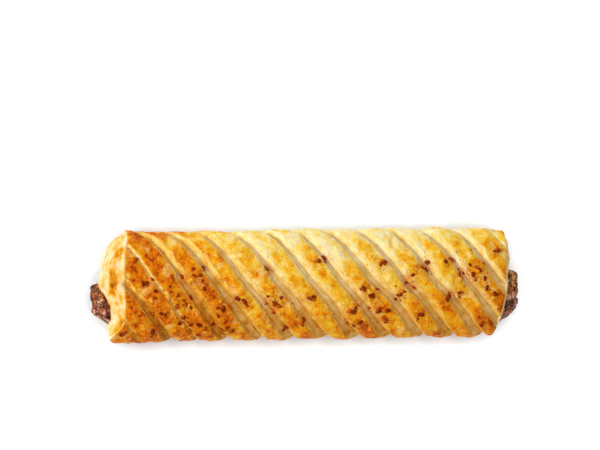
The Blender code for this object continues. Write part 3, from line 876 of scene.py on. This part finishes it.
def speck_spots():
    """(x, turn, radius, spin, tilt) of each fine speck. They lie round the clumps."""
    draw = random.Random(FLAKE_SEED + 5)
    spots = []
    weights = [flakes for _, _, flakes in CLUMPS]
    for _ in range(SPECK_COUNT):
        middle, middle_turn, _ = draw.choices(CLUMPS, weights)[0]
        x = clamp(middle / 1000 + draw.gauss(0, SPECK_SCATTER[0]), -SPECK_LIMIT, SPECK_LIMIT)
        turn = middle_turn + draw.gauss(0, SPECK_SCATTER[1])
        radius = mix(*SPECK_RADIUS, draw.random() ** 2)
        spots.append((x, turn, radius, draw.uniform(0, math.tau), draw.gauss(0, FLAKE_TILT)))
    return spots


def crust_at(x, turn):
    return crust_point(Spot.at(x, turn))


def crust_normal(x, turn):
    by_turn, by_x = CRUST_STEPS
    across = crust_at(x, turn + by_turn) - crust_at(x, turn - by_turn)
    along = crust_at(x + by_x, turn) - crust_at(x - by_x, turn)
    return across.cross(along).normalized()


def chip(bm, place, draw, detail):
    """Adds a crushed flake: a ball that flat cuts have made angular."""
    x, turn, radius, spin, tilt = place
    depth = radius * draw.uniform(*FLAKE_DEPTH)
    stretch = draw.uniform(*FLAKE_STRETCH)
    cuts = []
    for _ in range(CHIP_CUTS):
        direction = Vector((draw.gauss(0, 1), draw.gauss(0, 1), draw.gauss(0, 1))).normalized()
        cuts.append((direction, draw.uniform(*CHIP_REACH)))
    normal = crust_normal(x, turn)
    turned = normal.to_track_quat("Z", "Y") @ Euler((tilt, 0.0, spin)).to_quaternion()
    spot = crust_at(x, turn) + normal * depth * (0.5 - FLAKE_SUNK)
    made = bmesh.ops.create_icosphere(bm, subdivisions=detail, radius=1.0)
    for vert in made["verts"]:
        for direction, reach in cuts:
            past = vert.co.dot(direction) - reach
            if past > 0:
                vert.co -= direction * past
        grown = vert.co * CHIP_GROW
        shaped = Vector((grown.x * radius * stretch, grown.y * radius, grown.z * depth * CHIP_FLAT))
        vert.co = spot + turned @ shaped


def make_flakes():
    """All flakes and specks, as one object for each kind."""
    draw = random.Random(FLAKE_SEED + 1)
    meshes = {kind: bmesh.new() for kind in FLAKE_LOOKS}
    for places, kinds, detail in (flake_spots(), *FLAKES), (speck_spots(), *SPECKS):
        for number, place in enumerate(places):
            chip(meshes[kinds[number % len(kinds)]], place, draw, detail)
    flakes = []
    for kind, bm in meshes.items():
        mesh = bpy.data.meshes.new(f"flakes_{kind}")
        bm.to_mesh(mesh)
        bm.free()
        mesh.materials.append(flake_material(mesh.name, *FLAKE_LOOKS[kind]))
        flakes.append(link(bpy.data.objects.new(mesh.name, mesh)))
    return flakes


def stain_finder():
    """A function that says how much the flakes near a point have stained the crust."""
    places = np.array([(x + SHIFT, section_at(turn)[0]) for x, turn, *_ in flake_spots()])

    def stain(point):
        if point.z < WIDEST_LEVEL:
            return 0.0
        away = np.hypot(places[:, 0] - point.x, places[:, 1] - point.y) / STAIN_REACH
        near = away[away < STAIN_LIMIT]
        return float(min(np.exp(-near * near).sum() * STAIN_STRENGTH, 1.0))

    return stain


# ---- materials ----


def linear(red, green, blue):
    """A colour given in screen values of 0 to 255."""
    parts = [value / 255 for value in (red, green, blue)]
    return (*(p / 12.92 if p <= 0.04045 else ((p + 0.055) / 1.055) ** 2.4 for p in parts), 1.0)


class Graph:
    """Short calls for a material's nodes. Most return a socket."""

    INPUTS = (
        "Base Color", "Roughness", "Specular IOR Level", "Subsurface Weight", "Subsurface Radius",
        "Subsurface Scale",
    )

    def __init__(self, name):
        self.material = bpy.data.materials.new(name)
        self.material.use_nodes = True
        self.tree = self.material.node_tree
        self.shader = self.tree.nodes["Principled BSDF"]

    def node(self, kind, **inputs):
        made = self.tree.nodes.new("ShaderNode" + kind)
        for name, value in inputs.items():
            self.feed(made.inputs[name], value)
        return made

    def feed(self, socket, value):
        if isinstance(value, bpy.types.NodeSocket):
            self.tree.links.new(value, socket)
        else:
            socket.default_value = value

    def attribute(self, name, output="Fac"):
        made = self.node("Attribute")
        made.attribute_name = name
        return made.outputs[output]

    def position(self):
        return self.node("NewGeometry").outputs["Position"]

    def math(self, operation, first, second=0.0, clamped=False):
        made = self.node("Math")
        made.operation = operation
        made.use_clamp = clamped
        self.feed(made.inputs[0], first)
        self.feed(made.inputs[1], second)
        return made.outputs[0]

    def noise(self, vector, size, detail=3.0, roughness=0.55):
        """Noise around 0.5, with features of the given size in metres."""
        inputs = {"Vector": vector, "Scale": 1 / size, "Detail": detail, "Roughness": roughness}
        return self.node("TexNoise", **inputs).outputs["Fac"]

    def spread(self, value, low, high, to_low=0.0, to_high=1.0):
        """Maps low..high to to_low..to_high, and holds it there."""
        made = self.node("MapRange")
        for socket, number in zip(made.inputs, (value, low, high, to_low, to_high)):
            self.feed(socket, number)
        return made.outputs[0]

    def uneven(self, value, noise, swing, clamped=False):
        """The value, with noise that swings it up and down."""
        return self.math("ADD", value, self.spread(noise, *NOISE_MOST, -swing, swing), clamped)

    def ramp(self, value, *stops):
        """A colour ramp from (place, colour) pairs, the first at 0 and the last at 1."""
        made = self.node("ValToRGB")
        self.feed(made.inputs[0], value)
        elements = made.color_ramp.elements
        elements[0].color, elements[1].color = linear(*stops[0][1]), linear(*stops[-1][1])
        for place, colour in stops[1:-1]:
            elements.new(place).color = linear(*colour)
        return made.outputs["Color"]

    def mix(self, share, first, second):
        made = self.node("Mix")
        made.data_type = "RGBA"
        self.feed(made.inputs[0], share)
        self.feed(made.inputs[6], first)
        self.feed(made.inputs[7], second)
        return made.outputs[2]

    def bump(self, height, strength, distance):
        made = self.node("Bump", Height=height, Strength=strength, Distance=distance)
        self.tree.links.new(made.outputs[0], self.shader.inputs["Normal"])

    def finish(self, *values):
        """Sets the first of the shader's INPUTS."""
        for name, value in zip(self.INPUTS, values):
            self.feed(self.shader.inputs[name], value)
        return self.material


def crust_material():
    graph = Graph("crust")
    place = graph.position()
    bake = graph.attribute("bake")
    coarse = graph.noise(place, 0.0032, 4.0)
    fine = graph.noise(place, 0.0011)
    streaks = graph.noise(graph.attribute("grain", "Vector"), 0.0009, 3.0, 0.65)

    baked = graph.uneven(graph.uneven(bake, coarse, 0.20), fine, 0.12, clamped=True)
    browned = graph.ramp(
        baked,
        (0.00, (253, 234, 180)), (0.18, (252, 222, 126)), (0.34, (250, 204, 70)), (0.48, (245, 182, 34)),
        (0.62, (239, 156, 14)), (0.76, (226, 122, 3)), (0.90, (196, 86, 2)), (1.00, (134, 48, 4)),
    )

    layered = graph.uneven(graph.uneven(bake, streaks, 0.17), coarse, 0.16, clamped=True)
    flank = graph.ramp(
        layered,
        (0.00, (254, 236, 184)), (0.18, (254, 226, 144)), (0.40, (247, 202, 90)), (0.65, (232, 162, 36)),
        (1.00, (178, 94, 8)),
    )
    floor = graph.ramp(
        layered,
        (0.00, (248, 228, 178)), (0.25, (242, 208, 138)), (0.50, (230, 180, 94)), (0.75, (214, 144, 38)),
        (1.00, (166, 92, 12)),
    )

    skin = graph.uneven(graph.uneven(graph.attribute("skin"), coarse, 0.35), fine, 0.40)
    on_crown = graph.spread(skin, 0.42, 0.62)
    # pale crown edges: partly unbrowned dough, partly painted highlight
    rim = graph.uneven(graph.uneven(graph.attribute("rim"), coarse, 0.45), fine, 0.25)
    bare = graph.spread(graph.uneven(graph.attribute("flaked"), fine, 0.40), 0.50, 0.80, 0.0, 0.60)
    # pale flecks on the crowns: partly cream dough, partly painted glints
    flecks_and_glints = graph.spread(graph.noise(place, 0.0019, 2.0, 0.7), 0.60, 0.68, 0.0, 0.55)
    pale = graph.math("MAXIMUM", graph.spread(rim, 0.50, 0.85, 0.0, 0.80), bare)
    pale = graph.math("MAXIMUM", pale, flecks_and_glints)
    tiny = graph.noise(place, 0.0006, 2.0)
    creamy = graph.ramp(
        graph.uneven(graph.math("MULTIPLY", baked, 0.8), tiny, 0.2, clamped=True),
        (0.00, (255, 240, 200)), (0.35, (254, 226, 150)), (0.65, (246, 190, 84)), (1.00, (214, 130, 24)),
    )
    browned = graph.mix(pale, browned, creamy)
    spots = graph.spread(graph.noise(place, 0.0013, 1.0), 0.66, 0.74, 0.0, 0.55)
    spots = graph.math("MULTIPLY", spots, graph.spread(bake, 0.2, 0.5))
    browned = graph.mix(spots, browned, linear(*SPOT_BROWN))

    colour = graph.mix(graph.attribute("floor"), flank, floor)
    colour = graph.mix(on_crown, colour, browned)
    leaves = graph.ramp(
        layered,
        (0.00, (251, 225, 186)), (0.20, (247, 210, 152)), (0.36, (242, 192, 100)), (0.52, (230, 160, 40)),
        (0.75, (208, 126, 14)), (1.00, (158, 80, 8)),
    )
    colour = graph.mix(graph.attribute("leaf"), colour, leaves)
    stained = graph.math("MULTIPLY", graph.attribute("stain"), graph.spread(fine, 0.35, 0.6, 0.0, 0.85))
    colour = graph.mix(stained, colour, linear(*STAIN_ORANGE))
    # painted shade: darker in the slashes' creases, between the leaves and at the mouth
    colour = graph.mix(graph.math("MULTIPLY", graph.attribute("foot"), 0.12), colour, linear(*FOOT_SHADE_BROWN))

    layers = graph.math("MULTIPLY", streaks, graph.math("SUBTRACT", 1.0, on_crown))
    bubbles = graph.math("MULTIPLY", graph.noise(place, 0.0007, 4.0), 0.8)
    graph.bump(graph.math("ADD", layers, bubbles), 0.95, 0.00045)
    roughness = graph.spread(on_crown, 0.0, 1.0, 0.75, 0.50)
    return graph.finish(colour, roughness, 0.05, 0.10, (0.0018, 0.0009, 0.0004), 1.0)


def mince_material():
    graph = Graph("mince")
    place = graph.position()
    axes = graph.node("SeparateXYZ", Vector=place).outputs
    coarse = graph.noise(place, 0.0026)
    fine = graph.noise(place, 0.0007)
    tone = graph.uneven(graph.spread(coarse, *NOISE_MOST, 0.10, 0.92), fine, 0.38)
    # tone rises towards the right end: painted light on the end that faces away from the key
    tone = graph.math("ADD", tone, graph.spread(axes["X"], -0.080, 0.080, -0.03, 0.15), clamped=True)
    meat = graph.ramp(
        tone,
        (0.00, (88, 30, 12)), (0.30, (140, 66, 28)), (0.54, (186, 104, 64)), (0.74, (236, 164, 132)),
        (1.00, (255, 220, 204)),
    )
    roasted = graph.ramp(
        tone,
        (0.00, (104, 40, 8)), (0.40, (174, 84, 14)), (0.75, (236, 146, 40)), (1.00, (252, 204, 120)),
    )
    meat = graph.mix(graph.spread(axes["Y"], -0.0090, -0.0020, 0.0, 0.92), meat, roasted)
    # golden crumbs on the right end's top, made lighter as painted light where that end faces away from the
    # key
    lit_right_top = graph.spread(axes["Y"], 0.0010, 0.0045, 0.0, 0.60)
    lit_right_top = graph.math("MULTIPLY", graph.spread(axes["X"], 0.070, 0.080), lit_right_top)
    meat = graph.mix(lit_right_top, meat, linear(*MINCE_GOLDEN_LIT))
    # painted shade: the creases between grains are darkened
    colour = graph.mix(graph.spread(graph.attribute("crease"), 0.56, 0.98), meat, linear(*MINCE_CREASE_SHADE))
    graph.bump(fine, 0.8, 0.0003)
    roughness = graph.spread(fine, *NOISE_MOST, 0.22, 0.46)
    return graph.finish(colour, roughness, 0.22, 0.08, (0.002, 0.0007, 0.0004), 1.0)


def flake_material(name, stops, roughness):
    graph = Graph(name)
    place = graph.position()
    speckled = graph.uneven(graph.noise(place, 0.0018, 1.0), graph.noise(place, 0.0006), 0.3)
    graph.bump(graph.noise(place, 0.0004), 0.6, 0.00015)
    colour = graph.ramp(graph.spread(speckled, 0.20, 0.80), *stops)
    return graph.finish(colour, roughness, 0.04)


def floor_material():
    """A white board lit from below, as a photographer's light table is."""
    graph = Graph("white_board")
    graph.shader.inputs["Emission Color"].default_value = GLOW_COLOUR
    # painted contact shadow: ambient occlusion darkens the glow near the stick
    near = graph.node("AmbientOcclusion", Distance=SHADOW_REACH)
    glow = graph.math("MULTIPLY", graph.math("POWER", near.outputs["AO"], SHADOW_DEPTH), FLOOR_GLOW)
    graph.feed(graph.shader.inputs["Emission Strength"], glow)
    return graph.finish(FLOOR_COLOUR, 0.9, 0.0)


# ---- stage ----


def link(obj):
    bpy.context.scene.collection.objects.link(obj)
    return obj


def make_camera():
    data = bpy.data.cameras.new("camera")
    data.sensor_width = SENSOR
    data.lens = SENSOR * CAMERA_AWAY / VIEW_WIDTH
    camera = link(bpy.data.objects.new("camera", data))
    turned = CAMERA_AXES @ Matrix.Rotation(CAMERA_ROLL, 3, "Z")
    place = AIM + CAMERA_AXES.col[2] * CAMERA_AWAY
    camera.matrix_world = Matrix.Translation(place) @ turned.to_4x4()
    bpy.context.scene.camera = camera


def make_lights():
    away = (CAMERA_AXES @ Vector(KEY_FROM)).normalized()
    data = bpy.data.lights.new("key", "AREA")
    data.size = KEY_SIZE
    data.energy = KEY_POWER
    data.color = KEY_COLOUR
    key = link(bpy.data.objects.new("key", data))
    key.location = AIM + away * KEY_AWAY
    key.rotation_mode = "QUATERNION"
    key.rotation_quaternion = away.to_track_quat("Z", "Y")
    world = bpy.data.worlds.new("sky")
    world.use_nodes = True
    sky = world.node_tree.nodes["Background"]
    sky.inputs["Color"].default_value = SKY_COLOUR
    sky.inputs["Strength"].default_value = SKY_STRENGTH
    bpy.context.scene.world = world


def make_floor():
    mesh = bpy.data.meshes.new("floor")
    half = FLOOR_SIZE / 2
    corners = [(-half, -half, 0), (half, -half, 0), (half, half, 0), (-half, half, 0)]
    mesh.from_pydata(corners, [], [(0, 1, 2, 3)])
    mesh.materials.append(floor_material())
    link(bpy.data.objects.new("floor", mesh))


def dress():
    crust = make_crust(stain_finder())
    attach(crust, "root")
    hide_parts("pastry")
    mince = make_filling()
    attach(mince, "root")
    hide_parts("filling")
    for flakes in make_flakes():
        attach(flakes, "root")


make_camera()
make_lights()
make_floor()
dress()
bpy.context.scene.view_settings.view_transform = "Standard"
